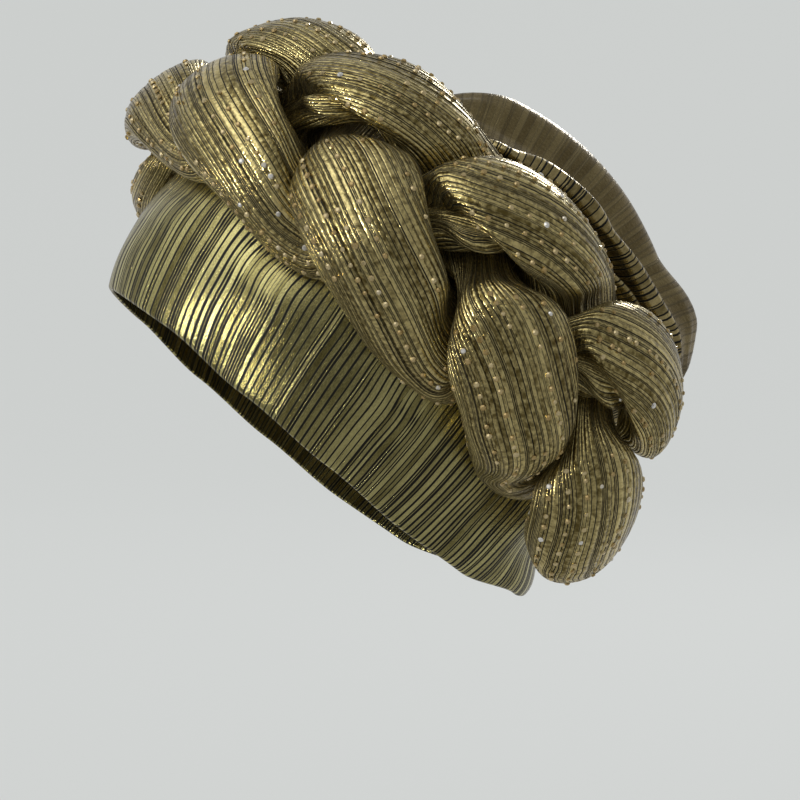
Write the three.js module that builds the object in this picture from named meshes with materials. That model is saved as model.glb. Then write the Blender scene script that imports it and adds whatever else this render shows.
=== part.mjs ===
// A ready-tied head tie, in the shape that it keeps on the head: a wide stretch band round the hairline,
// a thin pleated crown behind it, and a braid of three stuffed cloth strands laid over the join.
// Millimetres, +Z up, -Y to the wearer's front, +X to the wearer's left.
// The origin is the centre of the head opening.
import * as THREE from "three";

const { clamp, degToRad, lerp, radToDeg, smoothstep } = THREE.MathUtils;

// Head form that the cloth is wrapped on: half sizes, and the place of its centre
const HEAD = {
  halfWidth: 75,
  halfLength: 95,
  above: 80,
  below: 115,
  centre: new THREE.Vector3(0, 21, 41),
};

// The rim lies in a plane through the origin, which falls from the brow to the nape
const RIM_FALL = degToRad(36.5);
const SIDEWAYS = new THREE.Vector3(1, 0, 0);
const FORWARD = new THREE.Vector3(0, -Math.cos(RIM_FALL), Math.sin(RIM_FALL));
const UPRIGHT = new THREE.Vector3(0, Math.sin(RIM_FALL), Math.cos(RIM_FALL));

// Stretch band: height, cloth wall, its clearance over the head, and how far up the nape is drawn in
const BAND = { height: 55, wall: 2, clearance: 2.5, drawnInHeight: 42, sections: 72, levels: 5 };

// Lower edge of the band, by the angle from the brow: how far the edge hangs below the rim plane, and
// how far the cloth above it is drawn in
const BAND_EDGE = [
  { around: 0, hang: 0, drawIn: 0 },
  { around: 30, hang: 1, drawIn: 0 },
  { around: 55, hang: 5, drawIn: 0 },
  { around: 85, hang: 8, drawIn: 0 },
  { around: 115, hang: 10.5, drawIn: 0 },
  { around: 138, hang: 10, drawIn: 2 },
  { around: 160, hang: 4, drawIn: 8 },
  { around: 180, hang: 0, drawIn: 10 },
];

// Crown: cloth wall, lift of its skirt inside the band, the angles its rows run between, and how far its
// columns crowd together on narrow folds
const CROWN = { wall: 1.8, skirtLift: 1.5, first: 4, last: 176, rows: 23, columns: 56, crowding: 14 };

// How far the crown stands off the head in the valleys of its folds, by the angle from the front
const CROWN_STAND_OFF = [
  { along: 0, lift: 1.5 },
  { along: 55, lift: 2 },
  { along: 75, lift: 4 },
  { along: 120, lift: 3.5 },
  { along: 138, lift: 5 },
  { along: 150, lift: 7.5 },
  { along: 165, lift: 4 },
  { along: 180, lift: 1.5 },
];

// Folds that run back over the crown: their place across it, half width and height, and the angles from
// the front at which each one starts, is full, begins to ebb and ends
const CROWN_FOLDS = [
  { name: "left ridge", across: 8, width: 8, height: 12.5, starts: 58, full: 84, ebbs: 128, ends: 160 },
  { name: "right ridge", across: -14, width: 8, height: 12, starts: 62, full: 90, ebbs: 128, ends: 160 },
  { name: "pouch", across: 6, width: 40, height: 14, starts: 128, full: 142, ebbs: 147, ends: 160 },
  { name: "left roll", across: 41, width: 4.5, height: 15.5, starts: 60, full: 90, ebbs: 128, ends: 160 },
  { name: "left tuck", across: 52, width: 3, height: 12, starts: 85, full: 105, ebbs: 125, ends: 150 },
  { name: "right roll", across: -38, width: 5, height: 15, starts: 60, full: 85, ebbs: 130, ends: 162 },
  { name: "right tuck", across: -53, width: 3.5, height: 11, starts: 80, full: 105, ebbs: 130, ends: 155 },
];

// Folds lie flat within the first distance of the braid's middle line and are whole at the second, and
// rise out of the band between two heights, given as sines of the angle above the rim
const FOLDS_CLEAR_BRAID = { flat: 30, whole: 46 };
const FOLDS_LEAVE_BAND = { flat: 0.12, whole: 0.4 };

// Middle line of the braid on the head, from the right tip over the front to the left tip, as angles
// round from the brow and above the head's middle
const BRAID_PATH = [
  { around: -138, above: -44 },
  { around: -127, above: -26 },
  { around: -111, above: -9 },
  { around: -86, above: 14 },
  { around: -42, above: 46 },
  { around: 0, above: 60 },
  { around: 53, above: 50 },
  { around: 92, above: 22 },
  { around: 115, above: -2 },
  { around: 130.5, above: -20 },
  { around: 145, above: -45 },
];

// Braid: length of one full plait, sway and rise of a strand's middle, radius of a strand, flattening of
// the heights against the head, and the underside's depth and lift
const BRAID = {
  plait: 155,
  lead: 1.5,
  sway: 16,
  rise: 14,
  radius: 20,
  flatten: 0.6,
  depth: 20,
  lift: 6,
  crease: 2.2,
  gap: 3.8,
};

// Tips of the braid: the strands draw together over one length to a share of their sway, and each
// strand closes over another
const TIP = { gather: 55, sway: 0.35, close: 26 };

// Strands of the braid: place in the plait, in thirds, and how far short of each tip one stops
const STRANDS = [
  { name: "braid_strand_a", third: 0, shortOfRight: 0, shortOfLeft: 22 },
  { name: "braid_strand_b", third: 1, shortOfRight: 14, shortOfLeft: 32 },
  { name: "braid_strand_c", third: 2, shortOfRight: 4, shortOfLeft: 0 },
];

// How finely the curves are drawn: points on the braid's middle line, steps to measure along it, strides
// to keep of it, rings and sides of a strand, a short step along a strand, and halvings in a search
const LINE_POINTS = 220;
const LINE_STEPS = 1000;
const LINE_STRIDES = 160;
const STRAND_RINGS = 54;
const STRAND_SIDES = 16;
const STRAND_STEP = 1;
const HALVINGS = 16;

/** Value of a table's column at a place given in its first column, eased from row to row. */
function fromTable(rows, place, at, column) {
  const next = rows.findIndex((row) => row[place] >= at);
  if (next <= 0) return rows.at(next)[column];
  const [a, b] = [rows[next - 1], rows[next]];
  return lerp(a[column], b[column], smoothstep(at, a[place], b[place]));
}

/** Radius of the head form in a unit direction from its centre. */
function headRadius(direction) {
  const tall = direction.z > 0 ? HEAD.above : HEAD.below;
  return 1 / Math.hypot(direction.x / HEAD.halfWidth, direction.y / HEAD.halfLength, direction.z / tall);
}

/** Point at a lift above the head form, in a direction from its centre. */
function overHead(direction, lift) {
  const outwards = direction.clone().normalize();
  return outwards.multiplyScalar(headRadius(outwards) + lift).add(HEAD.centre);
}

/** Closed skin through loops of points. The loops either form a ring or end in two flat seams. */
function skin(loops, isRing) {
  const size = loops[0].length;
  const index = [];
  const quad = (a, b, c, d) => index.push(a, b, c, a, c, d);
  const joins = isRing ? loops.length : loops.length - 1;
  for (let i = 0; i < joins; i++) {
    const here = i * size;
    const next = ((i + 1) % loops.length) * size;
    for (let k = 0; k < size; k++) {
      const beside = (k + 1) % size;
      quad(here + k, here + beside, next + beside, next + k);
    }
  }
  const last = (loops.length - 1) * size;
  for (let k = 0; k < size / 2 - 1 && !isRing; k++) {
    const across = size - 1 - k;
    quad(k, across, across - 1, k + 1);
    quad(last + k, last + k + 1, last + across - 1, last + across);
  }
  return new THREE.BufferGeometry().setFromPoints(loops.flat()).setIndex(index);
}

/** Distance along a ray from a point inside the head to where the head form plus a lift ends. */
function reach(from, direction, lift) {
  let [inside, outside] = [0, 2 * HEAD.below];
  for (let i = 0; i < 2 * HALVINGS; i++) {
    const middle = (inside + outside) / 2;
    const spoke = from.clone().addScaledVector(direction, middle).sub(HEAD.centre);
    const isInside = spoke.length() < headRadius(spoke.clone().normalize()) + lift;
    if (isInside) inside = middle;
    else outside = middle;
  }
  return inside;
}

/** Point of the band at an angle round from the brow, a height above the lower edge and a lift. */
function bandPoint(turn, height, lift) {
  const around = radToDeg(Math.min(turn, 2 * Math.PI - turn));
  const share = height / BAND.height;
  const hang = fromTable(BAND_EDGE, "around", around, "hang") * Math.cos((Math.PI / 2) * share) ** 2;
  const waist = Math.sin(Math.PI * clamp(height / BAND.drawnInHeight, 0, 1)) ** 2;
  const drawIn = fromTable(BAND_EDGE, "around", around, "drawIn") * waist;
  const from = UPRIGHT.clone().multiplyScalar(height - hang);
  const outwards = FORWARD.clone().multiplyScalar(Math.cos(turn)).addScaledVector(SIDEWAYS, Math.sin(turn));
  return from.addScaledVector(outwards, reach(from, outwards, lift) - drawIn);
}

function headbandGeometry() {
  const sections = [];
  for (let i = 0; i < BAND.sections; i++) {
    const turn = (2 * Math.PI * i) / BAND.sections;
    const wall = (lift) =>
      Array.from({ length: BAND.levels }, (_, k) => {
        return bandPoint(turn, (BAND.height * k) / (BAND.levels - 1), lift);
      });
    sections.push([...wall(BAND.clearance), ...wall(BAND.clearance + BAND.wall).reverse()]);
  }
  return skin(sections, true);
}

// The braid's middle line, drawn through its stations and pressed onto the head
const stations = BRAID_PATH.map(({ around, above }) => {
  const [turn, tilt] = [degToRad(around), degToRad(above)];
  const level = Math.cos(tilt);
  return overHead(new THREE.Vector3(Math.sin(turn) * level, -Math.cos(turn) * level, Math.sin(tilt)), 0);
});
const onHead = new THREE.CatmullRomCurve3(stations, false, "catmullrom").getPoints(LINE_POINTS);
const path = new THREE.CatmullRomCurve3(onHead.map((point) => overHead(point.sub(HEAD.centre), 0)));
path.arcLengthDivisions = LINE_STEPS;
const pathLength = path.getLength();
const pathPoints = path.getSpacedPoints(LINE_STRIDES);
const overBrow = pathPoints.findIndex((point) => point.x > 0);
const pathMiddle = (pathLength * overBrow) / (pathPoints.length - 1);

/** Place of a strand's middle in the straightened braid: along it, across it and height. */
function strandMiddle(strand, along) {
  const angle = (2 * Math.PI * (along - pathMiddle)) / BRAID.plait + BRAID.lead;
  const turn = angle + (2 * Math.PI * strand.third) / 3;
  const fromTip = Math.min(along, pathLength - along);
  const spread = lerp(TIP.sway, 1, smoothstep(fromTip, 0, TIP.gather));
  return new THREE.Vector3(
    along,
    BRAID.sway * spread * Math.sin(turn),
    BRAID.rise * spread * Math.sin(2 * turn),
  );
}

/** Radius that a strand would have with nothing beside it: it closes round at each tip. */
function strandRadius(strand, along) {
  const fromRight = along - strand.shortOfRight;
  const fromLeft = pathLength - strand.shortOfLeft - along;
  const share = clamp(Math.min(fromRight, fromLeft) / TIP.close, 0, 1);
  return BRAID.radius * Math.sqrt(1 - (1 - share) ** 2);
}

// Each strand's middles and radii at even steps, for measuring how near the other strands are
const STEP = 2;
const traces = STRANDS.map((strand) =>
  Array.from({ length: Math.floor(pathLength / STEP) + 1 }, (_, i) => ({
    middle: strandMiddle(strand, i * STEP),
    radius: strandRadius(strand, i * STEP),
  })),
);

/** Distance from a point to a strand, in radii of that strand. */
function nearness(trace, point) {
  const spread = 2 * BRAID.radius;
  const first = Math.max(0, Math.floor((point.x - spread) / STEP));
  const last = Math.min(trace.length - 1, Math.ceil((point.x + spread) / STEP));
  let least = Infinity;
  for (let i = first; i <= last; i++) {
    if (trace[i].radius > 0) least = Math.min(least, trace[i].middle.distanceTo(point) / trace[i].radius);
  }
  return least;
}

/** Room left inside a strand at a point, with soft corners where it is pressed by its neighbours. */
function room(strand, along, point) {
  const radius = strandRadius(strand, along);
  const distance = strandMiddle(strand, along).distanceTo(point);
  const limits = [radius - distance, point.z + BRAID.depth];
  STRANDS.forEach((other, i) => {
    if (other === strand) return;
    const lead = nearness(traces[i], point) - distance / radius;
    limits.push((lead * BRAID.radius - BRAID.gap) / 2);
  });
  const least = Math.min(...limits);
  const sum = limits.reduce((total, limit) => total + Math.exp((least - limit) / BRAID.crease), 0);
  return least - BRAID.crease * Math.log(sum);
}

/** Lays a point of the straightened braid on the head, along the braid's middle line. */
function layOnHead({ x: along, y: across, z: height }) {
  const share = clamp(along / pathLength, 0, 1);
  const point = path.getPointAt(share);
  const forward = path.getTangentAt(share);
  const spoke = point.clone().sub(HEAD.centre);
  const tall = spoke.z > 0 ? HEAD.above : HEAD.below;
  const outwards = new THREE.Vector3(
    spoke.x / HEAD.halfWidth ** 2,
    spoke.y / HEAD.halfLength ** 2,
    spoke.z / tall ** 2,
  ).normalize();
  const sideways = new THREE.Vector3().crossVectors(forward, outwards);
  spoke.addScaledVector(sideways, across);
  return overHead(spoke, BRAID.lift + (height + BRAID.depth) * BRAID.flatten);
}

function strandGeometry(strand) {
  const start = strand.shortOfRight + STRAND_STEP;
  const end = pathLength - strand.shortOfLeft - STRAND_STEP;
  const loops = [];
  for (let i = 0; i < STRAND_RINGS; i++) {
    const share = i / (STRAND_RINGS - 1);
    const rounded = share - Math.sin(2 * Math.PI * share) / (4 * Math.PI);
    const along = lerp(start, end, rounded);
    const middle = strandMiddle(strand, along);
    const before = strandMiddle(strand, along - STRAND_STEP);
    const ahead = strandMiddle(strand, along + STRAND_STEP).sub(before).normalize();
    const sideways = new THREE.Vector3(0, 1, 0).addScaledVector(ahead, -ahead.y).normalize();
    const inwards = new THREE.Vector3().crossVectors(sideways, ahead);
    const loop = [];
    for (let k = 0; k < STRAND_SIDES; k++) {
      const turn = (2 * Math.PI * (k + 0.5)) / STRAND_SIDES;
      const spoke = sideways.clone().multiplyScalar(Math.cos(turn)).addScaledVector(inwards, Math.sin(turn));
      let [inside, outside] = [0, strandRadius(strand, along)];
      for (let n = 0; n < HALVINGS; n++) {
        const reachNow = (inside + outside) / 2;
        if (room(strand, along, middle.clone().addScaledVector(spoke, reachNow)) > 0) inside = reachNow;
        else outside = reachNow;
      }
      loop.push(layOnHead(middle.clone().addScaledVector(spoke, inside)));
    }
    loops.push(loop);
  }
  return skin(loops, false);
}

/** Lift of the crown's outside over the head, by the angles across it and along it from the front. */
function crownLift(across, along, outwards) {
  let folds = fromTable(CROWN_STAND_OFF, "along", along, "lift") - CROWN.skirtLift;
  for (const { across: middle, width, height, starts, full, ebbs, ends } of CROWN_FOLDS) {
    const swell = smoothstep(along, starts, full) * (1 - smoothstep(along, ebbs, ends));
    folds += height * swell * Math.exp(-(((across - middle) / width) ** 2));
  }
  const onTheHead = overHead(outwards, 0);
  const fromBraid = Math.min(...pathPoints.map((point) => point.distanceTo(onTheHead)));
  const clear = smoothstep(fromBraid, FOLDS_CLEAR_BRAID.flat, FOLDS_CLEAR_BRAID.whole);
  const above = smoothstep(outwards.dot(UPRIGHT), FOLDS_LEAVE_BAND.flat, FOLDS_LEAVE_BAND.whole);
  return CROWN.skirtLift + folds * clear * above;
}

/** Angles across the crown at which its columns lie. They crowd together on narrow folds. */
function crownColumns() {
  const turns = Array.from({ length: 181 }, (_, i) => i - 90);
  let total = 0;
  const walked = turns.map((turn) => {
    total += 1;
    for (const { across, width } of CROWN_FOLDS) {
      total += (CROWN.crowding / width) * Math.exp(-(((turn - across) / (2 * width)) ** 2));
    }
    return total;
  });
  return Array.from({ length: CROWN.columns + 1 }, (_, k) => {
    const wanted = lerp(walked[0], total, k / CROWN.columns);
    const next = Math.max(1, walked.findIndex((place) => place >= wanted));
    return turns[next] - (walked[next] - wanted) / (walked[next] - walked[next - 1]);
  });
}

function crownGeometry() {
  const columns = crownColumns();
  const loops = [];
  for (let i = 0; i < CROWN.rows; i++) {
    const along = lerp(CROWN.first, CROWN.last, i / (CROWN.rows - 1));
    const outside = [];
    const inside = [];
    for (const across of columns) {
      const [turn, tilt] = [degToRad(across), degToRad(along)];
      const outwards = FORWARD.clone()
        .multiplyScalar(Math.cos(tilt))
        .addScaledVector(UPRIGHT, Math.sin(tilt) * Math.cos(turn))
        .addScaledVector(SIDEWAYS, Math.sin(tilt) * Math.sin(turn));
      const lift = crownLift(across, along, outwards);
      outside.push(overHead(outwards, lift));
      inside.push(overHead(outwards, lift - CROWN.wall));
    }
    loops.push([...outside, ...inside.reverse()]);
  }
  return skin(loops, false);
}

const goldCloth = (color, roughness) =>
  new THREE.MeshStandardMaterial({ color, roughness, metalness: 0.6, side: THREE.DoubleSide });

const headTie = new THREE.Group();
const addPiece = (name, geometry, material) => {
  const piece = new THREE.Mesh(geometry, material);
  piece.name = name;
  headTie.add(piece);
};

addPiece("headband", headbandGeometry(), goldCloth(0x7d7340, 0.35));
addPiece("crown_bag", crownGeometry(), goldCloth(0x6b6340, 0.4));
for (const strand of STRANDS) {
  addPiece(strand.name, strandGeometry(strand), goldCloth(0x70663c, 0.45));
}

export default headTie;
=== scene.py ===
from math import cos, pi, radians, sin

import bpy
import numpy as np
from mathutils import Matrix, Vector


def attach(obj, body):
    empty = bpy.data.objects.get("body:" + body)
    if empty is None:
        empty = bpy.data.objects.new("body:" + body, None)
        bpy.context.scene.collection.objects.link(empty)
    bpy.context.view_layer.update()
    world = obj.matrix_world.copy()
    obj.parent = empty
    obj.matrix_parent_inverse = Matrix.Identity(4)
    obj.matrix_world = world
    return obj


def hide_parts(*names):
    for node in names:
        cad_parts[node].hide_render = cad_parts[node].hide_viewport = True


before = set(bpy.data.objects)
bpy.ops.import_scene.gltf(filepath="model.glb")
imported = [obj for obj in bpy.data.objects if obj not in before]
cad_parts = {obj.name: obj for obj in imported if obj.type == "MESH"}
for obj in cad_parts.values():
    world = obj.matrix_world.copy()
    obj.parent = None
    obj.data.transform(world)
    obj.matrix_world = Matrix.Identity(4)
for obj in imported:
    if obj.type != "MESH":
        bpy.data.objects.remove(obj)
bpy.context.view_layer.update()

# Headband
# A strip of foil-printed stretch cloth, folded double with its fold at the hairline and pulled
# smooth round the head. The stripes of the cloth run across it.

# Head shape that the cloth is wrapped on: its middle and its half sizes
HEAD_CENTRE = np.array([0, 0.021, 0.041])
HEAD_HALF_WIDTH = 0.075
HEAD_HALF_LENGTH = 0.095
HEAD_ABOVE = 0.080
HEAD_BELOW = 0.115

# Rim of the band, which falls from the brow to the nape
RIM_FALL = radians(36.5)
SIDEWAYS = np.array([1.0, 0, 0])
FORWARD = np.array([0, -cos(RIM_FALL), sin(RIM_FALL)])
UPRIGHT = np.array([0, sin(RIM_FALL), cos(RIM_FALL)])

BAND_HEIGHT = 0.055
BAND_WALL = 0.002
BAND_CLEARANCE = 0.0025
BAND_DRAWN_IN_HEIGHT = 0.042
BAND_ROWS = 26
BAND_FOLD_STEPS = 8
BAND_HALVINGS = 30

# Lower edge by the angle round from the brow: how far it hangs and how far it draws in
BAND_EDGE = [
    (0, 0, 0),
    (30, 0.001, 0),
    (55, 0.005, 0),
    (85, 0.008, 0),
    (115, 0.0105, 0),
    (138, 0.010, 0.002),
    (160, 0.004, 0.008),
    (180, 0, 0.010),
]

# Stripes, the width of their dark lines against a gold, and how far they bend near the top
BAND_STRIPES = 280
BAND_SEED = 3
BAND_LINE = 0.75
BAND_BEND = 0.35
BAND_BEND_STEADY = 0.6
BAND_BEND_LENGTH = 0.026
BAND_BEND_HEIGHTS = (0.010, 0.040)
BAND_BENDS_ROUND = 9
BAND_GOLD = (0.18, 0.15, 0.045, 1)
BAND_PALE = (0.68, 0.61, 0.26, 1)

# Slack waves of the stretched cloth: how many round the head, radians per metre of height, and lead
BAND_WAVE = 0.0003
BAND_WAVES = [(7, 90, 0), (11, -140, 2)]


def unit(vectors):
    return vectors / np.linalg.norm(vectors, axis=-1, keepdims=True)


def ease(value, low, high):
    """Smooth step of a value, from 0 at low to 1 at high."""
    share = np.clip((value - low) / (high - low), 0, 1)
    return share * share * (3 - 2 * share)


def from_table(rows, at):
    """Columns of a table at places given in its first column, eased from row to row."""
    places, *columns = np.array(rows, float).T
    after = np.clip(np.searchsorted(places, at), 1, len(places) - 1)
    share = ease(at, places[after - 1], places[after])
    return [column[after - 1] + (column[after] - column[after - 1]) * share for column in columns]


def head_radius(ways):
    """Radius of the head shape in unit directions from its centre."""
    x, y, z = np.moveaxis(ways, -1, 0)
    tall = np.where(z > 0, HEAD_ABOVE, HEAD_BELOW)
    return 1 / np.linalg.norm([x / HEAD_HALF_WIDTH, y / HEAD_HALF_LENGTH, z / tall], axis=0)


def over_head(ways, lift):
    """Points at a lift above the head shape, in directions from its centre."""
    outwards = unit(ways)
    return HEAD_CENTRE + outwards * (head_radius(outwards) + lift)[..., None]


def band_points(turn, height, lift):
    """Points of the band at angles round from the brow, heights above its lower edge and lifts."""
    around = np.degrees(np.minimum(turn, 2 * pi - turn))
    hang, draw_in = from_table(BAND_EDGE, around)
    hang = hang * np.cos(pi / 2 * height / BAND_HEIGHT) ** 2
    draw_in = draw_in * np.sin(pi * np.clip(height / BAND_DRAWN_IN_HEIGHT, 0, 1)) ** 2
    start = (height - hang)[..., None] * UPRIGHT
    outwards = np.cos(turn)[..., None] * FORWARD + np.sin(turn)[..., None] * SIDEWAYS
    inside = np.zeros_like(height)
    outside = np.full_like(height, 2 * HEAD_BELOW)
    for _ in range(BAND_HALVINGS):
        middle = (inside + outside) / 2
        spoke = start + outwards * middle[..., None] - HEAD_CENTRE
        is_inside = np.linalg.norm(spoke, axis=-1) < head_radius(unit(spoke)) + lift
        inside = np.where(is_inside, middle, inside)
        outside = np.where(is_inside, outside, middle)
    return start + outwards * (inside - draw_in)[..., None]


def band_section():
    """Heights and lifts round the folded strip: down its outside and up its inside."""
    half = BAND_WALL / 2
    down = np.linspace(BAND_HEIGHT - half, half, BAND_ROWS)
    up = down[::-2]
    fold = np.linspace(0, pi, BAND_FOLD_STEPS)[1:-1]
    heights = [down, half - half * np.sin(fold), up, BAND_HEIGHT - half + half * np.sin(fold)]
    lifts = [np.full(len(down), half), half * np.cos(fold), np.full(len(up), -half), -half * np.cos(fold)]
    return np.concatenate(heights), BAND_CLEARANCE + half + np.concatenate(lifts)


# Shares of a stripe where its gold starts and ends. Half a dark line lies on either side
GOLD_STARTS = 0.15
GOLD_ENDS = 0.85

# Widths of the golds, the share of them that are narrow, and the spread of the lines' widths
NARROW_GOLDS = (0.2, 0.35)
WIDE_GOLDS = (0.6, 1.9)
NARROW_SHARE = 0.3
LINE_SPREAD = (0.6, 1.4)


def stripe_marks(count, seed, thick):
    """Places of uneven stripes, as shares of the cloth, and their numbers in the stripe map.
    Each stripe has three marks: where its gold starts, where it ends and the next line's middle."""
    chance = np.random.RandomState(seed)
    lines = thick * chance.uniform(*LINE_SPREAD, count)
    narrow = chance.uniform(*NARROW_GOLDS, count)
    is_narrow = chance.rand(count) < NARROW_SHARE
    golds = np.where(is_narrow, narrow, chance.uniform(*WIDE_GOLDS, count))
    steps = np.stack([lines / 2, golds, np.roll(lines, -1) / 2], -1)
    places = np.cumsum(steps).reshape(count, 3) / steps.sum()
    return places, np.arange(count)[:, None] + np.array([GOLD_STARTS, GOLD_ENDS, 1])


def gold_marks(count, seed, thick):
    """Places and numbers where the golds of uneven stripes start and end, in one row each."""
    return [marks[:, :2].ravel() for marks in stripe_marks(count, seed, thick)]


def cloth_skin(name, points, stripes, wraps):
    """Mesh over a grid of points with its stripe map. wraps says which ways the grid closes, and a
    tube that closes only round its section has a fan of faces at each tip."""
    rows, columns = points.shape[:2]
    row = np.arange(rows if wraps[0] else rows - 1)[:, None]
    column = np.arange(columns if wraps[1] else columns - 1)[None]
    corners = [(row + i, column + k) for i, k in [(0, 0), (0, 1), (1, 1), (1, 0)]]
    quads = np.stack([i % rows * columns + k % columns for i, k in corners], -1).reshape(-1, 4)
    places = np.stack([stripes[i, k] for i, k in corners], -2).reshape(-1, 2)
    flat = points.reshape(-1, 3)
    a, b, c, d = (flat[quads[:, k]] for k in range(4))
    is_inside_out = (np.cross(c - a, d - b) * (a + b + c + d - 4 * flat.mean(0))).sum() < 0
    faces = quads.tolist()
    if wraps == (False, True):
        around = np.arange(columns)
        beside = (around + 1) % columns
        for end, first, second in [(0, beside, around), (rows - 1, around, beside)]:
            tip = np.full(columns, len(flat))
            faces += np.stack([end * columns + first, end * columns + second, tip], -1).tolist()
            flat = np.vstack([flat, points[end].mean(0)])
            places = np.vstack([places, np.repeat(stripes[end, :columns], 3, axis=0)])
    mesh = bpy.data.meshes.new(name)
    mesh.from_pydata(flat.tolist(), [], faces)
    mesh.uv_layers.new(name="stripes").data.foreach_set("uv", places.astype(np.float32).ravel())
    if is_inside_out:
        mesh.flip_normals()
    mesh.shade_smooth()
    piece = bpy.data.objects.new(name, mesh)
    bpy.context.scene.collection.objects.link(piece)
    return piece


class Wire:
    """An output socket in a node tree. Arithmetic with it adds Math nodes."""

    def __init__(self, tree, socket):
        self.tree = tree
        self.socket = socket

    def node(self, kind, settings, inputs, output=0):
        """One output of a new node, with its settings and its inputs' values or wires."""
        made = self.tree.nodes.new(kind)
        for name, value in settings.items():
            setattr(made, name, value)
        for name, value in inputs.items():
            self.feed(made.inputs[name], value)
        return Wire(self.tree, made.outputs[output])

    def feed(self, socket, value):
        """Links a wire to a socket, or sets the socket's value."""
        if isinstance(value, Wire):
            self.tree.links.new(value.socket, socket)
        else:
            socket.default_value = value

    def math(self, operation, *values):
        return self.node("ShaderNodeMath", {"operation": operation}, dict(enumerate(values)))

    def __add__(self, other):
        return self.math("ADD", self, other)

    def __sub__(self, other):
        return self.math("SUBTRACT", self, other)

    def __rsub__(self, other):
        return self.math("SUBTRACT", other, self)

    def __mul__(self, other):
        return self.math("MULTIPLY", self, other)

    def __abs__(self):
        return self.math("ABSOLUTE", self)

    __radd__ = __add__
    __rmul__ = __mul__

    def floor(self):
        return self.math("FLOOR", self)

    def eased(self, low, high):
        """Smooth step of this wire, from 0 at low to 1 at high."""
        limits = {"Value": self, "From Min": low, "From Max": high}
        return self.node("ShaderNodeMapRange", {"interpolation_type": "SMOOTHSTEP"}, limits)

    def mix(self, first, second):
        """Colour between two others, with this wire as the second one's share."""
        return self.node("ShaderNodeMix", {"data_type": "RGBA"}, {0: self, 6: first, 7: second}, 2)

    def noise(self, other, roughness):
        """Noise with this wire and another as its two coordinates."""
        place = self.node("ShaderNodeCombineXYZ", {}, {"X": self, "Y": other})
        grain = {"Vector": place, "Scale": 1.0, "Detail": 2.0, "Roughness": roughness}
        return self.node("ShaderNodeTexNoise", {}, grain)


# Foil: the dark lines between its golds and their soft edge, and a plain dark brown painted as shade
# over the cloth's middle, where its lines are left out, with the half widths over which that shade ends
LINE_INK = (0.004, 0.0035, 0.002, 1)
LINE_EDGE = 2 * GOLD_ENDS - 1
LINE_BLUR = 0.06
LINE_DULL = 0.85
LINE_ROUGHER = 0.35
LINE_BREAKS = (0.25, 0.45)
PLAIN_SHADE_TONE = (0.10, 0.072, 0.035, 1)
PLAIN_SHADE_HALF_WIDTHS = (0.040, 0.047)

# Foil: worn patches to a stripe and to a metre, and cross threads to a metre, with the roughness of
# their noise, and the threads' relief
PATCHES_ACROSS = 0.8
PATCHES_ALONG = 110
PATCH_ROUGHNESS = 0.5
THREADS_ALONG = 1500
THREAD_ROUGHNESS = 0.7
THREAD_ROUGHER = 0.3
THREAD_DEPTH = 0.0003
THREAD_STRENGTH = 0.8

# Foil: how much of its tone comes from the stripe and from the patch, and where gold turns to pale
STRIPE_TONE = 0.35
PATCH_TONE = 0.45
PALE_TONES = (0.05, 0.75)
FOIL_METALLIC = 0.96
FOIL_SPECULAR = 0.25
FOIL_SHEEN = 0.03
FOIL_SHEEN_ROUGHNESS = 0.4
FOIL_SHEEN_TINT = (0.62, 0.47, 0.30, 1)


def foil_cloth(name, gold, pale, roughness, weave, threads, ribs=0, broken=0, plain_shade=0):
    """Gold foil cloth with dark lines between its stripes and fine cross threads, from its stripe map.
    weave and threads: strength of the threads and how many lie across a stripe; ribs: roundness of the
    stripes; broken: how far the lines break up; plain_shade: how far the middle is painted a plain dark
    shade without lines."""
    cloth = bpy.data.materials.new(name)
    cloth.use_nodes = True
    tree = cloth.node_tree
    shader = tree.nodes["Principled BSDF"]
    stripe_map = Wire(tree, tree.nodes.new("ShaderNodeUVMap").outputs[0])
    across = stripe_map.node("ShaderNodeSeparateXYZ", {}, {0: stripe_map}, "X")
    along = stripe_map.node("ShaderNodeSeparateXYZ", {}, {0: stripe_map}, "Y")
    stripe = across.floor()
    from_middle = abs(across - stripe - 0.5) * 2
    own_tone = across.node("ShaderNodeTexWhiteNoise", {"noise_dimensions": "1D"}, {"W": stripe + 0.5})
    patch = (across * PATCHES_ACROSS).noise(along * PATCHES_ALONG, PATCH_ROUGHNESS)
    thread = (across * threads).noise(along * THREADS_ALONG, THREAD_ROUGHNESS)
    # Painted shade: the middle of the cloth turns to a plain dark brown and loses its dark lines
    is_plain_shade = plain_shade * (1 - abs(along).eased(*PLAIN_SHADE_HALF_WIDTHS))
    is_whole = 1 - broken * (1 - patch.eased(*LINE_BREAKS))
    is_line = from_middle.eased(LINE_EDGE - LINE_BLUR, LINE_EDGE + LINE_BLUR) * is_whole * (1 - is_plain_shade)
    tone = STRIPE_TONE * own_tone + PATCH_TONE * patch + weave * (thread - 0.5)
    # The painted shade's dark brown takes the place of the foil's own tone in the middle
    foil = is_plain_shade.mix(tone.eased(*PALE_TONES).mix(gold, pale), PLAIN_SHADE_TONE)
    height = ribs * (1 - from_middle * from_middle) + weave * thread
    relief = {"Strength": THREAD_STRENGTH, "Distance": THREAD_DEPTH, "Height": height}
    rougher = LINE_ROUGHER * is_line + THREAD_ROUGHER * (thread - 0.5)
    across.feed(shader.inputs["Base Color"], is_line.mix(foil, LINE_INK))
    across.feed(shader.inputs["Metallic"], FOIL_METALLIC - LINE_DULL * is_line)
    across.feed(shader.inputs["Roughness"], roughness + rougher)
    across.feed(shader.inputs["Normal"], across.node("ShaderNodeBump", {}, relief))
    shader.inputs["Specular IOR Level"].default_value = FOIL_SPECULAR
    shader.inputs["Sheen Weight"].default_value = FOIL_SHEEN
    shader.inputs["Sheen Roughness"].default_value = FOIL_SHEEN_ROUGHNESS
    shader.inputs["Sheen Tint"].default_value = FOIL_SHEEN_TINT
    return cloth


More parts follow.
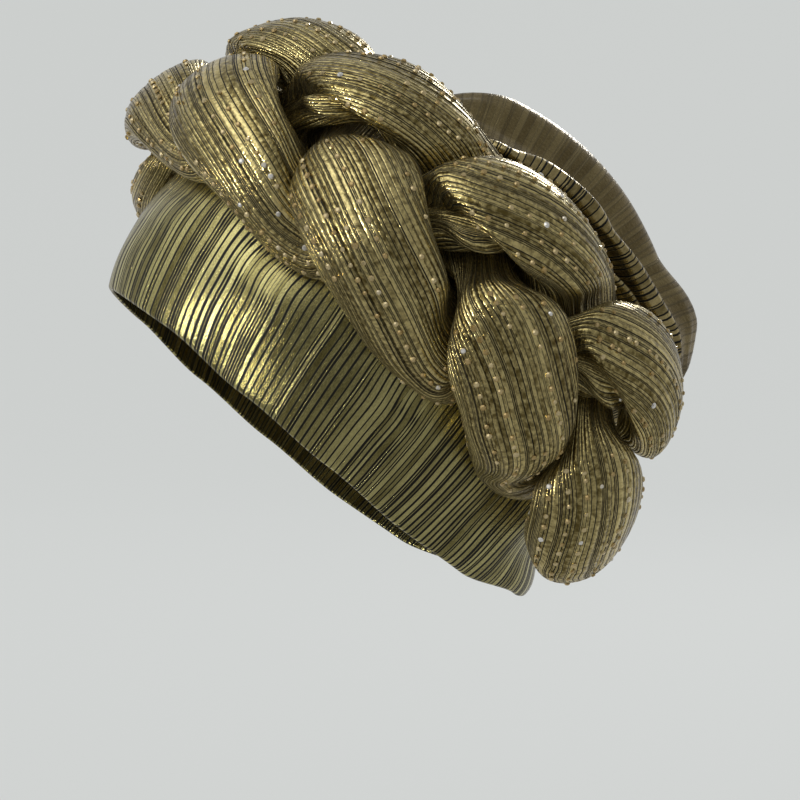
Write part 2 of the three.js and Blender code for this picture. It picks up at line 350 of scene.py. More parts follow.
band_places, band_marks = gold_marks(BAND_STRIPES, BAND_SEED, BAND_LINE)
band_heights, band_lifts = band_section()
turns, heights = np.meshgrid(2 * pi * band_places, band_heights, indexing="ij")
waves = sum(np.sin(count * turns + rate * heights + lead) for count, rate, lead in BAND_WAVES)
band_surface = band_points(turns, heights, band_lifts + BAND_WAVE * waves)

# The stripe map goes once round the head and the section, so its last row and column are the first again
closed_marks = np.append(band_marks, band_marks[0] + BAND_STRIPES)
closed_heights = np.append(band_heights, band_heights[0])
marks, heights = np.meshgrid(closed_marks, closed_heights, indexing="ij")
bend = np.sin(2 * pi * heights / BAND_BEND_LENGTH) * ease(heights, *BAND_BEND_HEIGHTS)
bend = bend * (BAND_BEND_STEADY + np.sin(2 * pi * BAND_BENDS_ROUND * marks / BAND_STRIPES))
band_stripes = np.stack([marks + BAND_BEND * bend, heights], -1)

headband = cloth_skin("headband_cloth", band_surface, band_stripes, (True, True))
headband.data.materials.append(
    foil_cloth("band foil", BAND_GOLD, BAND_PALE, roughness=0.13, weave=0.6, threads=6)
)
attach(headband, "root")
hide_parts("headband")

# Crown
# A soft cap of the same cloth behind the braid, pleated into ridges that run from the braid over
# the back of the head and gather at the nape. Its stripes cross the ridges.

CROWN_WALL = 0.0016
CROWN_SKIRT_LIFT = 0.0015
CROWN_FIRST = 4
CROWN_LAST = 176
CROWN_SIDE = 90
CROWN_COLUMNS = 150
CROWN_SAMPLES = 721
CROWN_CROWDING = 18
CROWN_STRIPES = 144
CROWN_SEED = 5
CROWN_LINE = 0.42
CROWN_GOLD = (0.20, 0.15, 0.055, 1)
CROWN_PALE = (0.60, 0.48, 0.22, 1)

# The crown lies flat under the braid and the band: distances from the braid's line over which it
# rises, and shares of the upright over which it leaves the band
CROWN_CLEARS_BRAID = (0.028, 0.037)
CROWN_CLEARS_BAND = (0.12, 0.40)

# Small gathers beside the braid: height, distances from its line over which they fade, waves in
# radians per degree across, how far and how often they wander, and their slant
CROWN_GATHER = 0.0008
GATHERS_FADE = (0.046, 0.080)
GATHER_RATES = (1.9, 1.2)
GATHER_WANDER = 4
GATHER_WANDER_RATE = 1 / 9
GATHER_SLANT = 0.2

# Lift by the angle along the crown from its front
CROWN_STAND_OFF = [
    (0, 0.0015),
    (55, 0.002),
    (75, 0.004),
    (120, 0.0035),
    (138, 0.005),
    (150, 0.0075),
    (165, 0.004),
    (180, 0.0015),
]

# Folds: angle across, half width and height, how far the foot is pinched, the lean across in degrees,
# and the angles along where each starts, is full, ebbs and ends
CROWN_FOLDS = [
    (8, 13.5, 0.0125, 0, 0, 58, 84, 128, 160),
    (-14, 13.5, 0.012, 0, 0, 62, 90, 128, 160),
    (6, 66, 0.015, 0, 0, 128, 143, 150, 162),
    (39.5, 3.6, 0.016, 2, 2, 60, 90, 128, 160),
    (48.5, 1.9, 0.015, 1.6, 1, 85, 105, 125, 150),
    (-36, 4, 0.015, 2, -2, 60, 85, 130, 162),
    (-50, 2.2, 0.012, 1.6, -1, 80, 105, 130, 155),
]

# Middle line of the braid, from behind one ear over the brow to behind the other, by stations on the
# head shape in degrees round from the brow and above the level
BRAID_STATIONS = [
    (-138, -44),
    (-127, -26),
    (-111, -9),
    (-86, 14),
    (-42, 46),
    (0, 60),
    (53, 50),
    (92, 22),
    (115, -2),
    (130.5, -20),
    (145, -45),
]
BRAID_LINE_STEPS = 200
BRAID_LINE_MARKS = 161


def braid_line():
    """Points of the braid's middle line on the head shape and their distances along it."""
    turn, tilt = np.radians(BRAID_STATIONS).T
    ways = np.stack([np.sin(turn) * np.cos(tilt), -np.cos(turn) * np.cos(tilt), np.sin(tilt)], -1)
    marks = over_head(ways, np.zeros(len(ways)))
    marks = np.vstack([2 * marks[0] - marks[1], marks, 2 * marks[-1] - marks[-2]])
    share = np.linspace(0, 1, BRAID_LINE_STEPS, endpoint=False)[:, None]
    runs = []
    for before, first, second, after in zip(marks, marks[1:], marks[2:], marks[3:]):
        leave = (second - before) / 2
        arrive = (after - first) / 2
        cubic = 2 * first - 2 * second + leave + arrive
        square = 3 * second - 3 * first - 2 * leave - arrive
        runs.append(cubic * share**3 + square * share**2 + leave * share + first)
    line = np.vstack([*runs, marks[-2]])
    line = over_head(line - HEAD_CENTRE, np.zeros(len(line)))
    steps = np.linalg.norm(np.diff(line, axis=0), axis=1)
    return line, np.concatenate([[0], np.cumsum(steps)])


def on_braid_line(places):
    """Points of the braid's middle line at distances along it."""
    return np.stack([np.interp(places, line_places, line_points[:, k]) for k in range(3)], -1)


line_points, line_places = braid_line()
BRAID_LENGTH = line_places[-1]
even_places = np.linspace(0, BRAID_LENGTH, BRAID_LINE_MARKS)
even_points = on_braid_line(even_places)
BRAID_MIDDLE = even_places[np.argmax(even_points[:, 0] > 0)]


def crown_folds(across, along):
    """Lift of the crown's folds, and how far their pinch and lean move the cloth across, in degrees."""
    lift = from_table(CROWN_STAND_OFF, along)[0] - CROWN_SKIRT_LIFT
    shift = np.zeros_like(across)
    for middle, width, height, pinch, lean, starts, full, ebbs, ends in CROWN_FOLDS:
        swell = ease(along, starts, full) * (1 - ease(along, ebbs, ends))
        place = np.clip((across - middle) / width, -1, 1)
        rise = swell * np.cos(pi / 2 * place) ** 2
        lift = lift + height * rise
        shift = shift + swell * pinch * width * np.sin(2 * pi * place) / (2 * pi) + lean * rise
    return lift, shift


def crown_gathers(across, along):
    """Small uneven waves of the gathered cloth, from -2 to 2."""
    wander = GATHER_WANDER * np.sin(GATHER_WANDER_RATE * along)
    first = np.sin(GATHER_RATES[0] * across + wander)
    second = np.sin(GATHER_RATES[1] * across - GATHER_SLANT * along)
    return first + second


def crown_ways(across, along):
    """Directions from the head's middle by angles across the crown and along it."""
    turn = np.radians(across)[..., None]
    tilt = np.radians(along)[..., None]
    return np.cos(tilt) * FORWARD + np.sin(tilt) * (np.cos(turn) * UPRIGHT + np.sin(turn) * SIDEWAYS)


def crown_points(across, along):
    """Points of the crown's outside by angles across it and along it."""
    ways = crown_ways(across, along)
    on_head = over_head(ways, np.zeros(across.shape))
    from_braid = np.full(across.shape, np.inf)
    for point in even_points:
        from_braid = np.minimum(from_braid, np.linalg.norm(on_head - point, axis=-1))
    clear = ease(from_braid, *CROWN_CLEARS_BRAID) * ease(ways @ UPRIGHT, *CROWN_CLEARS_BAND)
    lift, shift = crown_folds(across, along)
    lift = lift + CROWN_GATHER * crown_gathers(across, along) * (1 - ease(from_braid, *GATHERS_FADE))
    return over_head(crown_ways(across + shift * clear, along), CROWN_SKIRT_LIFT + lift * clear)


def crown_columns():
    """Angles across of the columns of the crown's grid, which crowd on the narrow folds."""
    across = np.linspace(-CROWN_SIDE, CROWN_SIDE, CROWN_SAMPLES)
    crowding = np.ones_like(across)
    for middle, width, *_ in CROWN_FOLDS:
        crowding = crowding + CROWN_CROWDING / width * np.exp(-(((across - middle) / width) ** 2))
    shares = np.cumsum(crowding) / crowding.sum()
    return np.interp(np.linspace(shares[0], 1, CROWN_COLUMNS), shares, across)


crown_places, crown_marks = gold_marks(CROWN_STRIPES, CROWN_SEED, CROWN_LINE)
crown_rows = CROWN_FIRST + (CROWN_LAST - CROWN_FIRST) * crown_places
along, across = np.meshgrid(crown_rows, crown_columns(), indexing="ij")
from_top = np.radians(across) * HEAD_HALF_WIDTH
crown_stripes = np.stack([np.broadcast_to(crown_marks[:, None], across.shape), from_top], -1)
crown = cloth_skin("crown_cloth", crown_points(across, along), crown_stripes, (False, False))
crown_wall = crown.modifiers.new("wall", "SOLIDIFY")
crown_wall.thickness = CROWN_WALL
crown_wall.offset = -1
# The crown's middle, along its top, is painted a plain dark shade in place of its stripes
crown.data.materials.append(
    foil_cloth(
        "crown foil", CROWN_GOLD, CROWN_PALE, roughness=0.24, weave=0.6, threads=3, ribs=0.4, plain_shade=0.6
    )
)
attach(crown, "root")
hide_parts("crown_bag")

# Braid strands
# Three stuffed tubes of finely pleated cloth, plaited flat and laid over the join of the headband and
# the crown. Each passes over and under the other two and is pressed flat against them, and its pleats
# run along it and gather at the tips, which are tucked in behind the ears.

# The plait: its length, where it starts, and how far a strand sways across and up
PLAIT = 0.155
PLAIT_LEAD = 1.5
STRAND_SWAY = 0.016
STRAND_RISE = 0.014

# A strand's section: its radius, its swelling at a crossing, the gap and the soft corner that a
# neighbour presses into it, its depth below the middle, and how it lies on the head
STRAND_RADIUS = 0.020
STRAND_LEAST_RADIUS = 1e-6
STRAND_SWELL = 0.35
STRAND_GAP = 0.0008
STRAND_CREASE = 0.0018
STRAND_DEPTH = 0.020
STRAND_FLATTEN = 0.6
STRAND_LIFT = 0.006

# The grid of a strand, and the step of the traces that the strands are measured by
STRAND_ROWS = 300
STRAND_SPOKES = 120
STRAND_HALVINGS = 14
STRAND_STEP = 0.002

# The crease in each lump on the crown's side: its depth and width, the drop of the cloth behind it,
# and its place round the section, with the swings over which it opens, closes and drifts round
TUCK_DEPTH = 0.008
TUCK_WIDTH = 0.22
TUCK_DROP = 0.0045
TUCK_DROPS = (-1, 2)
TUCK_RISES = (4, 9)
TUCK_TURN = 4.9
TUCK_OPENS = (-0.6, 0.1)
TUCK_CLOSES = (0.7, 1.5)
TUCK_DRIFTS = (0, 1.3)
TUCK_LIMIT = 0.6

# Shallow hollows of the stuffing: depth, the radius from which they are full, and their waves round
# the section and in radians per metre along
HOLLOW_DEPTH = 0.0003
HOLLOW_FULL_RADIUS = 0.008
HOLLOW_WAVES = [(3, 210), (5, -290)]

# Pleats: depth, its spread, the share of deep ones and what they add, the width of the dark lines
# against a gold, and shares of the depth where the gold starts and ends and at the line's middle
STRAND_PLEATS = 92
PLEAT_DEPTH = 0.0004
PLEAT_LEAST = 0.6
PLEAT_SPREAD = 0.8
DEEP_PLEATS = 0.1
DEEP_PLEAT_MORE = 1.6
PLEAT_LIMIT = 0.2
PLEAT_LINE = 0.3
PLEAT_SECTION = (0.3, 0.3, 1)
PLEAT_MARKS = len(PLEAT_SECTION)
STRAND_GOLD = (0.15, 0.11, 0.03, 1)
STRAND_PALE = (0.80, 0.66, 0.29, 1)

# Tips: where the strands draw together and how much sway is left, how far back a tip starts to
# close, the knob at its end with its waist, and the hole in it
TIP_GATHER = 0.055
TIP_SWAY = 0.35
TIP_CLOSE = 0.026
TIP_KNOB = 0.006
TIP_WAIST = 0.45
TIP_HOLE = 0.0003

# Rows that turn in at a tip: distance inside the strand and radius
TUCKED_IN = [(0.007, 0.0008), (0.005, 0.0016), (0.002, 0.0022)]

# Place in the plait, in thirds, and how far short of the right and left tips each strand stops
STRANDS = [("a", 0, 0, 0.022), ("b", 1, 0.014, 0.032), ("c", 2, 0.004, 0)]
STRAND_SEED = 11


def plait_turn(third, along):
    """Angle of a strand in its swing from side to side."""
    return 2 * pi * (along - BRAID_MIDDLE) / PLAIT + PLAIT_LEAD + 2 * pi * third / 3


def strand_middle(third, along):
    """Middle of a strand in the straightened braid: along it, across it and height."""
    turn = plait_turn(third, along)
    spread = TIP_SWAY + (1 - TIP_SWAY) * ease(np.minimum(along, BRAID_LENGTH - along), 0, TIP_GATHER)
    sway = STRAND_SWAY * spread * np.sin(turn)
    rise = STRAND_RISE * spread * np.sin(2 * turn)
    return np.stack([along, sway, rise], -1)


def strand_radius(strand, along):
    """Radius of a strand with nothing beside it. It closes round at each tip."""
    _, _, short_right, short_left = strand
    from_tip = np.minimum(along - short_right, BRAID_LENGTH - short_left - along)
    share = np.clip(from_tip / TIP_CLOSE, 0, 1)
    waist = 1 - TIP_WAIST * np.exp(-(((from_tip - TIP_KNOB) / TIP_KNOB) ** 2))
    return STRAND_RADIUS * waist * np.sqrt(1 - (1 - share) ** 2)


trace_places = np.arange(0, BRAID_LENGTH, STRAND_STEP)
strand_traces = []
for strand in STRANDS:
    trace_radii = np.maximum(strand_radius(strand, trace_places), STRAND_LEAST_RADIUS)
    strand_traces.append((strand_middle(strand[1], trace_places), trace_radii))


def nearness(trace, points):
    """Distance from points to a strand, in radii of that strand."""
    middles, radii = trace
    nearest = np.round(points[..., 0] / STRAND_STEP).astype(int)
    spread = int(2 * STRAND_RADIUS / STRAND_STEP)
    least = np.full(points.shape[:-1], np.inf)
    for shift in range(-spread, spread + 1):
        place = np.clip(nearest + shift, 0, len(radii) - 1)
        least = np.minimum(least, np.linalg.norm(points - middles[place], axis=-1) / radii[place])
    return least


def strand_reach(strand, along):
    """Largest radius of a strand. It swells where it passes under the others and fills the crossing."""
    low = 0.5 - strand_middle(strand[1], along)[..., 2] / (2 * STRAND_RISE)
    return strand_radius(strand, along) * (1 + STRAND_SWELL * low**2)


def strand_room(strand, along, points):
    """Room left inside a strand, with soft corners where its neighbours press it."""
    radius = strand_radius(strand, along)
    distance = np.linalg.norm(points - strand_middle(strand[1], along), axis=-1)
    limits = [strand_reach(strand, along) - distance, points[..., 2] + STRAND_DEPTH]
    for other, trace in zip(STRANDS, strand_traces):
        if other is not strand:
            between = (nearness(trace, points) - distance / radius) * STRAND_RADIUS
            limits.append((between - STRAND_GAP) / 2)
    least = np.minimum.reduce(limits)
    return least - STRAND_CREASE * np.log(sum(np.exp((least - limit) / STRAND_CREASE) for limit in limits))


def strand_spokes(strand, along, turn):
    """Middles of a strand and directions of its section's spokes."""
    third = strand[1]
    half_step = STRAND_STEP / 2
    ahead = unit(strand_middle(third, along + half_step) - strand_middle(third, along - half_step))
    sideways = unit(np.array([0, 1.0, 0]) - ahead * ahead[..., 1:2])
    inwards = np.cross(sideways, ahead)
    spokes = np.cos(turn)[..., None] * sideways + np.sin(turn)[..., None] * inwards
    return strand_middle(third, along), spokes


def pressed_section(strand, places, shares):
    """Angles and radii of a pressed strand at places along it and shares of the way round its section."""
    spokes = pi / 2 + np.linspace(0, 2 * pi, STRAND_SPOKES + 1)
    along, turn = np.meshgrid(places, spokes, indexing="ij")
    middle, ray = strand_spokes(strand, along, turn)
    inside = np.zeros_like(along)
    outside = strand_reach(strand, along)
    for _ in range(STRAND_HALVINGS):
        reach = (inside + outside) / 2
        has_room = strand_room(strand, along, middle + ray * reach[..., None]) > 0
        inside = np.where(has_room, reach, inside)
        outside = np.where(has_room, outside, reach)
    pressed = (middle + ray * inside[..., None]) * np.array([1, 1, STRAND_FLATTEN])
    walked = np.cumsum(np.linalg.norm(np.diff(pressed, axis=1), axis=-1), axis=1)
    walked = np.pad(walked / walked[:, -1:], ((0, 0), (1, 0)))
    turns = np.stack([np.interp(shares, row, spokes) for row in walked])
    radius = np.stack([np.interp(row, spokes, reach) for row, reach in zip(turns, inside)])
    return turns, radius


def stuffing_hollows(places, turns, seed):
    """Depth of the shallow hollows of a strand's stuffing, which differ from strand to strand."""
    (first_count, first_rate), (second_count, second_rate) = HOLLOW_WAVES
    first = np.sin(first_count * turns + first_rate * places[:, None] + seed)
    second = np.sin(second_count * turns + second_rate * places[:, None])
    return HOLLOW_DEPTH * (first + second + 2)


def tuck_depths(strand, places, turns):
    """Depth of the crease in a strand's lumps on the crown's side, with the drop of the cloth behind it."""
    swing = plait_turn(strand[1], places)[:, None] % (2 * pi) - pi
    opening = ease(swing, *TUCK_OPENS) * (1 - ease(swing, *TUCK_CLOSES))
    beyond = (turns - TUCK_TURN - ease(swing, *TUCK_DRIFTS)) / TUCK_WIDTH
    drop = TUCK_DROP * ease(beyond, *TUCK_DROPS) * (1 - ease(beyond, *TUCK_RISES))
    return opening * (TUCK_DEPTH * np.exp(-(beyond**2)) + drop)


def pleat_depths(seed):
    """Depth of a strand's pleats at each of their marks."""
    chance = np.random.RandomState(seed)
    uneven = PLEAT_LEAST + PLEAT_SPREAD * chance.rand(STRAND_PLEATS)
    is_deep = chance.rand(STRAND_PLEATS) > 1 - DEEP_PLEATS
    depths = PLEAT_DEPTH * (uneven + DEEP_PLEAT_MORE * is_deep)
    return np.repeat(depths, PLEAT_MARKS) * np.tile(PLEAT_SECTION, STRAND_PLEATS)


def lay_on_head(points):
    """Lays points of the straightened braid on the head shape, along the braid's middle line."""
    place = np.clip(points[..., 0], 0, BRAID_LENGTH)
    spoke = on_braid_line(place) - HEAD_CENTRE
    ahead = unit(on_braid_line(place + STRAND_STEP) - on_braid_line(place - STRAND_STEP))
    x, y, z = np.moveaxis(spoke, -1, 0)
    tall = np.where(z > 0, HEAD_ABOVE, HEAD_BELOW)
    upwards = unit(np.stack([x / HEAD_HALF_WIDTH**2, y / HEAD_HALF_LENGTH**2, z / tall**2], -1))
    lift = STRAND_LIFT + (points[..., 2] + STRAND_DEPTH) * STRAND_FLATTEN
    return over_head(spoke + np.cross(ahead, upwards) * points[..., 1:2], lift)


def strand_grid(strand, seed):
    """Surface of a pleated strand with its stripe map, and how freely each point bulges out."""
    _, _, short_right, short_left = strand
    first = short_right + TIP_HOLE
    last = BRAID_LENGTH - short_left - TIP_HOLE
    share = np.linspace(0, 1, STRAND_ROWS)
    places = first + (last - first) * (share - np.sin(2 * pi * share) / (4 * pi))
    shares, marks = (part.ravel() for part in stripe_marks(STRAND_PLEATS, seed, PLEAT_LINE))
    turns, radius = pressed_section(strand, places, shares)
    freedom = radius / strand_radius(strand, places)[:, None]
    radius = radius - stuffing_hollows(places, turns, seed) * np.minimum(1, radius / HOLLOW_FULL_RADIUS)
    radius = radius - np.minimum(tuck_depths(strand, places, turns), TUCK_LIMIT * radius)
    radius = radius - np.minimum(pleat_depths(seed), PLEAT_LIMIT * radius)
    insets, tip_radii = np.array(TUCKED_IN).T
    places = np.concatenate([first + insets, places, last - insets[::-1]])
    tucked_in = np.broadcast_to(tip_radii[:, None], (len(tip_radii), len(shares)))
    radius = np.vstack([tucked_in, radius, tucked_in[::-1]])
    tip_rows = ((len(insets), len(insets)), (0, 0))
    freedom = np.pad(freedom, tip_rows)
    turns = np.pad(turns, tip_rows, mode="edge")
    middle, ray = strand_spokes(strand, np.broadcast_to(places[:, None], turns.shape), turns)
    surface = lay_on_head(middle + ray * radius[..., None])
    closed_marks = np.append(marks, marks[0] + STRAND_PLEATS)
    stripes = np.stack(np.broadcast_arrays(closed_marks, places[:, None]), -1)
    return surface, stripes, freedom


strand_foil = foil_cloth(
    "strand foil", STRAND_GOLD, STRAND_PALE, roughness=0.18, weave=1.3, threads=1, ribs=0.2, broken=0.35
)
strand_surfaces = []
for seed, strand in enumerate(STRANDS, STRAND_SEED):
    surface, stripes, freedom = strand_grid(strand, seed)
    piece = cloth_skin(f"strand_{strand[0]}_cloth", surface, stripes, (False, True))
    piece.data.materials.append(strand_foil)
    strand_surfaces.append((piece, surface, freedom))
    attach(piece, "root")
    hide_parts(f"braid_strand_{strand[0]}")

# Stones
# Hot-fixed cut stones of topaz and clear glass, pressed in rows along the pleats and in loose
# groups where a strand bulges. Each has a flat table and eight facets.

# A stone's flat back and its table against the girdle, the heights of both, and how far it sinks in
STONE_RADIUS = 0.001
STONE_BACK = 0.9
STONE_GIRDLE = 0.0002
STONE_TABLE = 0.55
STONE_HEIGHT = 0.0007
STONE_SIDES = 8
STONE_SIZES = (0.8, 1.15)
STONE_SINK = 0.0001

# Rows along the pleats: how many, how far they stray, the steps in them and the gaps that break them
STONE_SEED = 31
STONE_ROWS = 14
STONE_ROW_STRAY = 0.3
STONE_STEP = 0.0048
STONE_STEPS = (0.8, 1.3)
STONE_BREAKS_RATE = 55
STONE_BREAKS_LEAD = 2.4
STONE_BREAKS_BELOW = -0.45

# Loose groups: how many, their stones and their spread along and round, in the rows and marks of a strand
STONE_GROUPS = 26
STONES_IN_GROUP = 14
GROUP_LENGTH = 6
GROUP_WIDTH = 16
GROUP_MARGIN = 10
STONE_MARGIN = 6

# A stone is set where the strand is this free, faces this far out, and no nearer than this to another
STONE_FREEDOM = 0.93
STONE_OUTWARDS = 0.25
STONE_SPACING = 2.4 * STONE_RADIUS

# Glass: its tints, and the shares of the stones over which topaz turns pale and then clear
STONE_TOPAZ = (0.46, 0.32, 0.12, 1)
STONE_PALE_TOPAZ = (0.66, 0.53, 0.28, 1)
STONE_CLEAR = (0.90, 0.87, 0.80, 1)
PALE_SHARES = (0.1, 0.9)
CLEAR_SHARES = (0.93, 0.95)


def stone_seats(surface, freedom, seed):
    """Rows and columns of a strand's grid that may hold a stone: rows along pleats, and loose groups."""
    chance = np.random.RandomState(seed)
    rows, columns = freedom.shape
    step = np.linalg.norm(np.diff(surface, axis=0), axis=-1)
    seats = []
    for line in range(STONE_ROWS):
        stray = chance.uniform(-STONE_ROW_STRAY, STONE_ROW_STRAY)
        column = int((line + stray) * columns / STONE_ROWS) // PLEAT_MARKS * PLEAT_MARKS % columns
        walked = np.cumsum(step[:, column])
        place = chance.uniform(0, STONE_STEP)
        while place < walked[-1]:
            if sin(STONE_BREAKS_RATE * place + STONE_BREAKS_LEAD * line) > STONE_BREAKS_BELOW:
                seats.append((np.searchsorted(walked, place), column))
            place += STONE_STEP * chance.uniform(*STONE_STEPS)
    for _ in range(STONE_GROUPS):
        group_row = chance.randint(GROUP_MARGIN, rows - GROUP_MARGIN)
        group_column = chance.randint(columns)
        for _ in range(STONES_IN_GROUP):
            stray = chance.normal(0, GROUP_WIDTH)
            column = int(group_column + stray) // PLEAT_MARKS * PLEAT_MARKS % columns
            row = group_row + chance.normal(0, GROUP_LENGTH)
            seats.append((int(np.clip(row, STONE_MARGIN, rows - 1 - STONE_MARGIN)), column))
    return [(row, column) for row, column in seats if freedom[row, column] > STONE_FREEDOM]


def cut_stone():
    """Points of one stone, which stands on its flat back, and the corners of its facets."""
    angles = 2 * pi * np.arange(STONE_SIDES) / STONE_SIDES
    ring = np.stack([np.cos(angles), np.sin(angles), np.zeros(STONE_SIDES)], -1)
    up = np.array([0, 0, 1.0])
    back = ring * STONE_RADIUS * STONE_BACK
    girdle = ring * STONE_RADIUS + up * STONE_GIRDLE
    table = ring * STONE_TABLE * STONE_RADIUS + up * STONE_HEIGHT
    side = np.arange(STONE_SIDES)
    beside = (side + 1) % STONE_SIDES
    walls = np.stack([side, beside, beside + STONE_SIDES, side + STONE_SIDES], -1)
    flats = [side[::-1].tolist(), (side + 2 * STONE_SIDES).tolist()]
    return np.vstack([back, girdle, table]), flats + walls.tolist() + (walls + STONE_SIDES).tolist()


def stone_mesh(name, surface, seats, seed):
    """One mesh of cut stones on a strand, each turned its own way, with its own tint in the map."""
    chance = np.random.RandomState(seed)
    stone, facets = cut_stone()
    seated = []
    points = []
    faces = []
    tints = []
    for row, column in seats:
        here = surface[row, column]
        if seated and np.linalg.norm(np.array(seated) - here, axis=-1).min() < STONE_SPACING:
            continue
        outwards = unit(here - HEAD_CENTRE)
        ahead = unit(surface[row + 1, column] - surface[row - 1, column])
        next_column = (column + PLEAT_MARKS) % surface.shape[1]
        aside = surface[row, next_column] - surface[row, column - PLEAT_MARKS]
        out = unit(np.cross(aside, ahead))
        out = out * np.sign(out @ outwards)
        if out @ outwards < STONE_OUTWARDS:
            continue
        spin = chance.uniform(0, 2 * pi / STONE_SIDES)
        first = ahead * cos(spin) + np.cross(out, ahead) * sin(spin)
        axes = np.stack([first, np.cross(out, first), out])
        base = len(seated) * len(stone)
        points.append(here + chance.uniform(*STONE_SIZES) * (stone @ axes) - STONE_SINK * out)
        faces += [[corner + base for corner in facet] for facet in facets]
        tints += [chance.rand()] * sum(len(facet) for facet in facets)
        seated.append(here)
    mesh = bpy.data.meshes.new(name)
    mesh.from_pydata(np.vstack(points).tolist(), [], faces)
    tint_map = np.stack([tints, tints], -1).astype(np.float32)
    mesh.uv_layers.new(name="tint").data.foreach_set("uv", tint_map.ravel())
    stones = bpy.data.objects.new(name, mesh)
    bpy.context.scene.collection.objects.link(stones)
    return stones


def stone_glass():
    """Foil-backed glass: most stones in shades of topaz, and a few clear."""
    glass = bpy.data.materials.new("stone glass")
    glass.use_nodes = True
    tree = glass.node_tree
    shader = tree.nodes["Principled BSDF"]
    tint_map = Wire(tree, tree.nodes.new("ShaderNodeUVMap").outputs[0])
    chance = tint_map.node("ShaderNodeSeparateXYZ", {}, {0: tint_map}, "X")
    topaz = chance.eased(*PALE_SHARES).mix(STONE_TOPAZ, STONE_PALE_TOPAZ)
    is_clear = chance.eased(*CLEAR_SHARES)
    tint_map.feed(shader.inputs["Base Color"], is_clear.mix(topaz, STONE_CLEAR))
    shader.inputs["Metallic"].default_value = 0.7
    shader.inputs["Roughness"].default_value = 0.12
    shader.inputs["Coat Weight"].default_value = 0.6
    return glass


glass = stone_glass()
for seed, (piece, surface, freedom) in enumerate(strand_surfaces, STONE_SEED):
    stones = stone_mesh(f"{piece.name}_stones", surface, stone_seats(surface, freedom, seed), seed)
    stones.data.materials.append(glass)
    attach(stones, "root")

# Studio
# A pale round floor that rises into a wall all round, a small window of light from the left and a
# lamp behind. The camera looks at the left side of the head tie, a little from above.

FLOOR_LEVEL = -0.20
STUDIO_RADIUS = 3.2
STUDIO_HEIGHT = 3.0
STUDIO_COVE = 1.6
STUDIO_SIDES = 96
COVE_STEPS = 16
FLOOR_TONE = (0.06, 0.06, 0.06, 1)
FLOOR_GLOW = (0.97, 1.0, 0.98, 1)
FLOOR_GLOW_STRENGTH = 0.57
VIEW_TURN = radians(78)
VIEW_RISE = radians(3)
VIEW_DISTANCE = 0.8
VIEW_WIDTH = 0.296
VIEW_RIGHT = 0.030
VIEW_UP = 0.0155

view_back = Vector((sin(VIEW_TURN) * cos(VIEW_RISE), -cos(VIEW_TURN) * cos(VIEW_RISE), sin(VIEW_RISE)))
view_right = Vector((cos(VIEW_TURN), sin(VIEW_TURN), 0))
view_up = view_back.cross(view_right)
view_target = view_right * VIEW_RIGHT + view_up * VIEW_UP

for other in bpy.context.selected_objects:
    other.select_set(False)
bpy.ops.mesh.primitive_cylinder_add(
    vertices=STUDIO_SIDES,
    radius=STUDIO_RADIUS,
    depth=STUDIO_HEIGHT,
    location=(0, 0, FLOOR_LEVEL + STUDIO_HEIGHT / 2),
)
floor = bpy.context.object
floor.name = "studio_floor"
bpy.ops.object.mode_set(mode="EDIT")
bpy.ops.mesh.select_all(action="DESELECT")
bpy.ops.object.mode_set(mode="OBJECT")
for face in floor.data.polygons:
    face.select = face.normal.z > 0.9
bpy.ops.object.mode_set(mode="EDIT")
bpy.ops.mesh.select_mode(type="FACE")
bpy.ops.mesh.delete(type="FACE")
bpy.ops.mesh.select_all(action="SELECT")
bpy.ops.mesh.flip_normals()
bpy.ops.object.mode_set(mode="OBJECT")
cove = floor.modifiers.new("cove", "BEVEL")
cove.width = STUDIO_COVE
cove.segments = COVE_STEPS
cove.limit_method = "ANGLE"
bpy.ops.object.shade_smooth()
floor_paint = bpy.data.materials.new("floor paint")
floor_paint.use_nodes = True
paint = floor_paint.node_tree.nodes["Principled BSDF"].inputs
paint["Base Color"].default_value = FLOOR_TONE
paint["Roughness"].default_value = 0.9
paint["Emission Color"].default_value = FLOOR_GLOW
paint["Emission Strength"].default_value = FLOOR_GLOW_STRENGTH
floor.data.materials.append(floor_paint)

# The sky lights the cloth through the wall, and the foil mirrors the sky instead of the wall
floor.visible_glossy = False
floor.visible_shadow = False

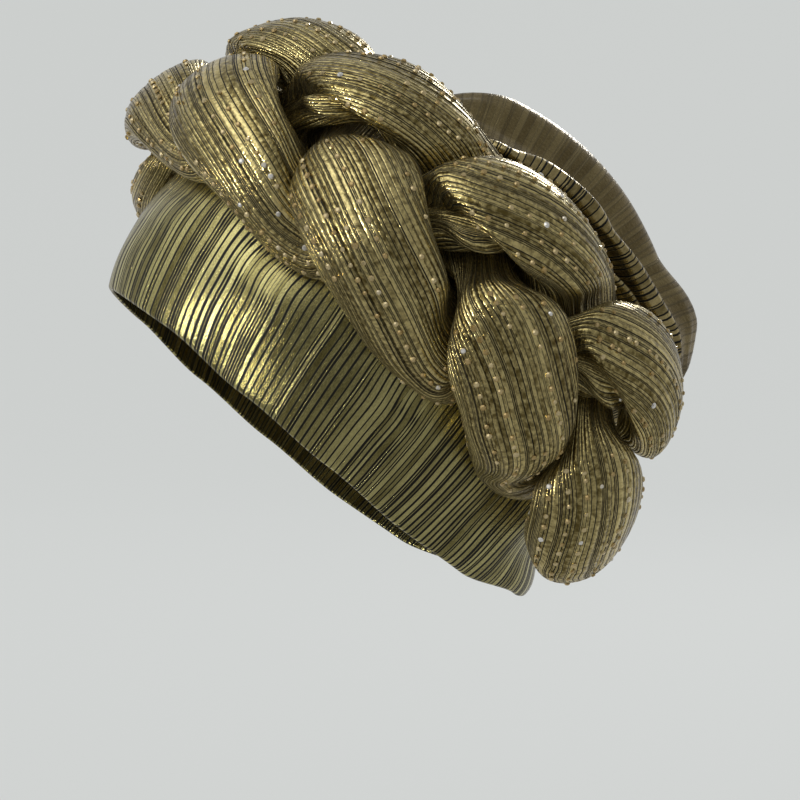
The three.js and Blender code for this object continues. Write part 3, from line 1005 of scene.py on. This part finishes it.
# The sky: an even light, the bright wall behind, a soft ceiling light at the upper left, and a dark
# stand near the camera that the foil mirrors
SKY_TINT = (0.97, 0.98, 1.0, 1)
SKY_LIGHT = 0.29
WALL_LIGHT = 0.26
WALL_FACING = (-0.2, 0.9)
CEILING_LIGHT = 1.2
CEILING_FACING = (0.72, 1.0)
STAND_SHADE = 0.9
STAND_FACING = (0.955, 0.99)

world = bpy.data.worlds.new("studio")
world.use_nodes = True
sky = world.node_tree.nodes["Background"]
way = Wire(world.node_tree, world.node_tree.nodes.new("ShaderNodeTexCoord").outputs["Generated"])


def facing(axis):
    """How far a direction of the sky lies along an axis, from -1 to 1."""
    axes = {0: way, 1: axis.normalized()}
    return way.node("ShaderNodeVectorMath", {"operation": "DOT_PRODUCT"}, axes, "Value")


ceiling = view_up - view_right * 0.7 + view_back * 0.7
stand = view_back * 0.97 - view_right * 0.20 - view_up * 0.14
light = SKY_LIGHT + WALL_LIGHT * facing(-view_back).eased(*WALL_FACING)
light = light + CEILING_LIGHT * facing(ceiling).eased(*CEILING_FACING)
light = light * (1 - STAND_SHADE * facing(stand).eased(*STAND_FACING))
way.feed(sky.inputs["Strength"], light)
sky.inputs["Color"].default_value = SKY_TINT
bpy.context.scene.world = world
bpy.context.scene.view_settings.view_transform = "Standard"


def soft_lamp(name, right, up, back, size, watts):
    """Round lamp that faces the head tie, placed from it by the camera's right, up and back."""
    place = view_target + view_right * right + view_up * up + view_back * back
    bpy.ops.object.light_add(type="AREA", location=place)
    lamp = bpy.context.object
    lamp.name = name
    lamp.data.shape = "DISK"
    lamp.data.size = size
    lamp.data.energy = watts
    lamp.rotation_mode = "QUATERNION"
    lamp.rotation_quaternion = (place - view_target).to_track_quat("Z", "Y")


soft_lamp("window", right=-1.2, up=0.03, back=0.85, size=0.20, watts=6)
soft_lamp("back light", right=0.45, up=0.75, back=-1.2, size=0.35, watts=5)

camera = bpy.data.objects.new("camera", bpy.data.cameras.new("camera"))
camera.data.lens = camera.data.sensor_width * VIEW_DISTANCE / VIEW_WIDTH
camera.location = view_target + view_back * VIEW_DISTANCE
camera.rotation_mode = "QUATERNION"
camera.rotation_quaternion = view_back.to_track_quat("Z", "Y")
bpy.context.scene.collection.objects.link(camera)
bpy.context.scene.camera = camera
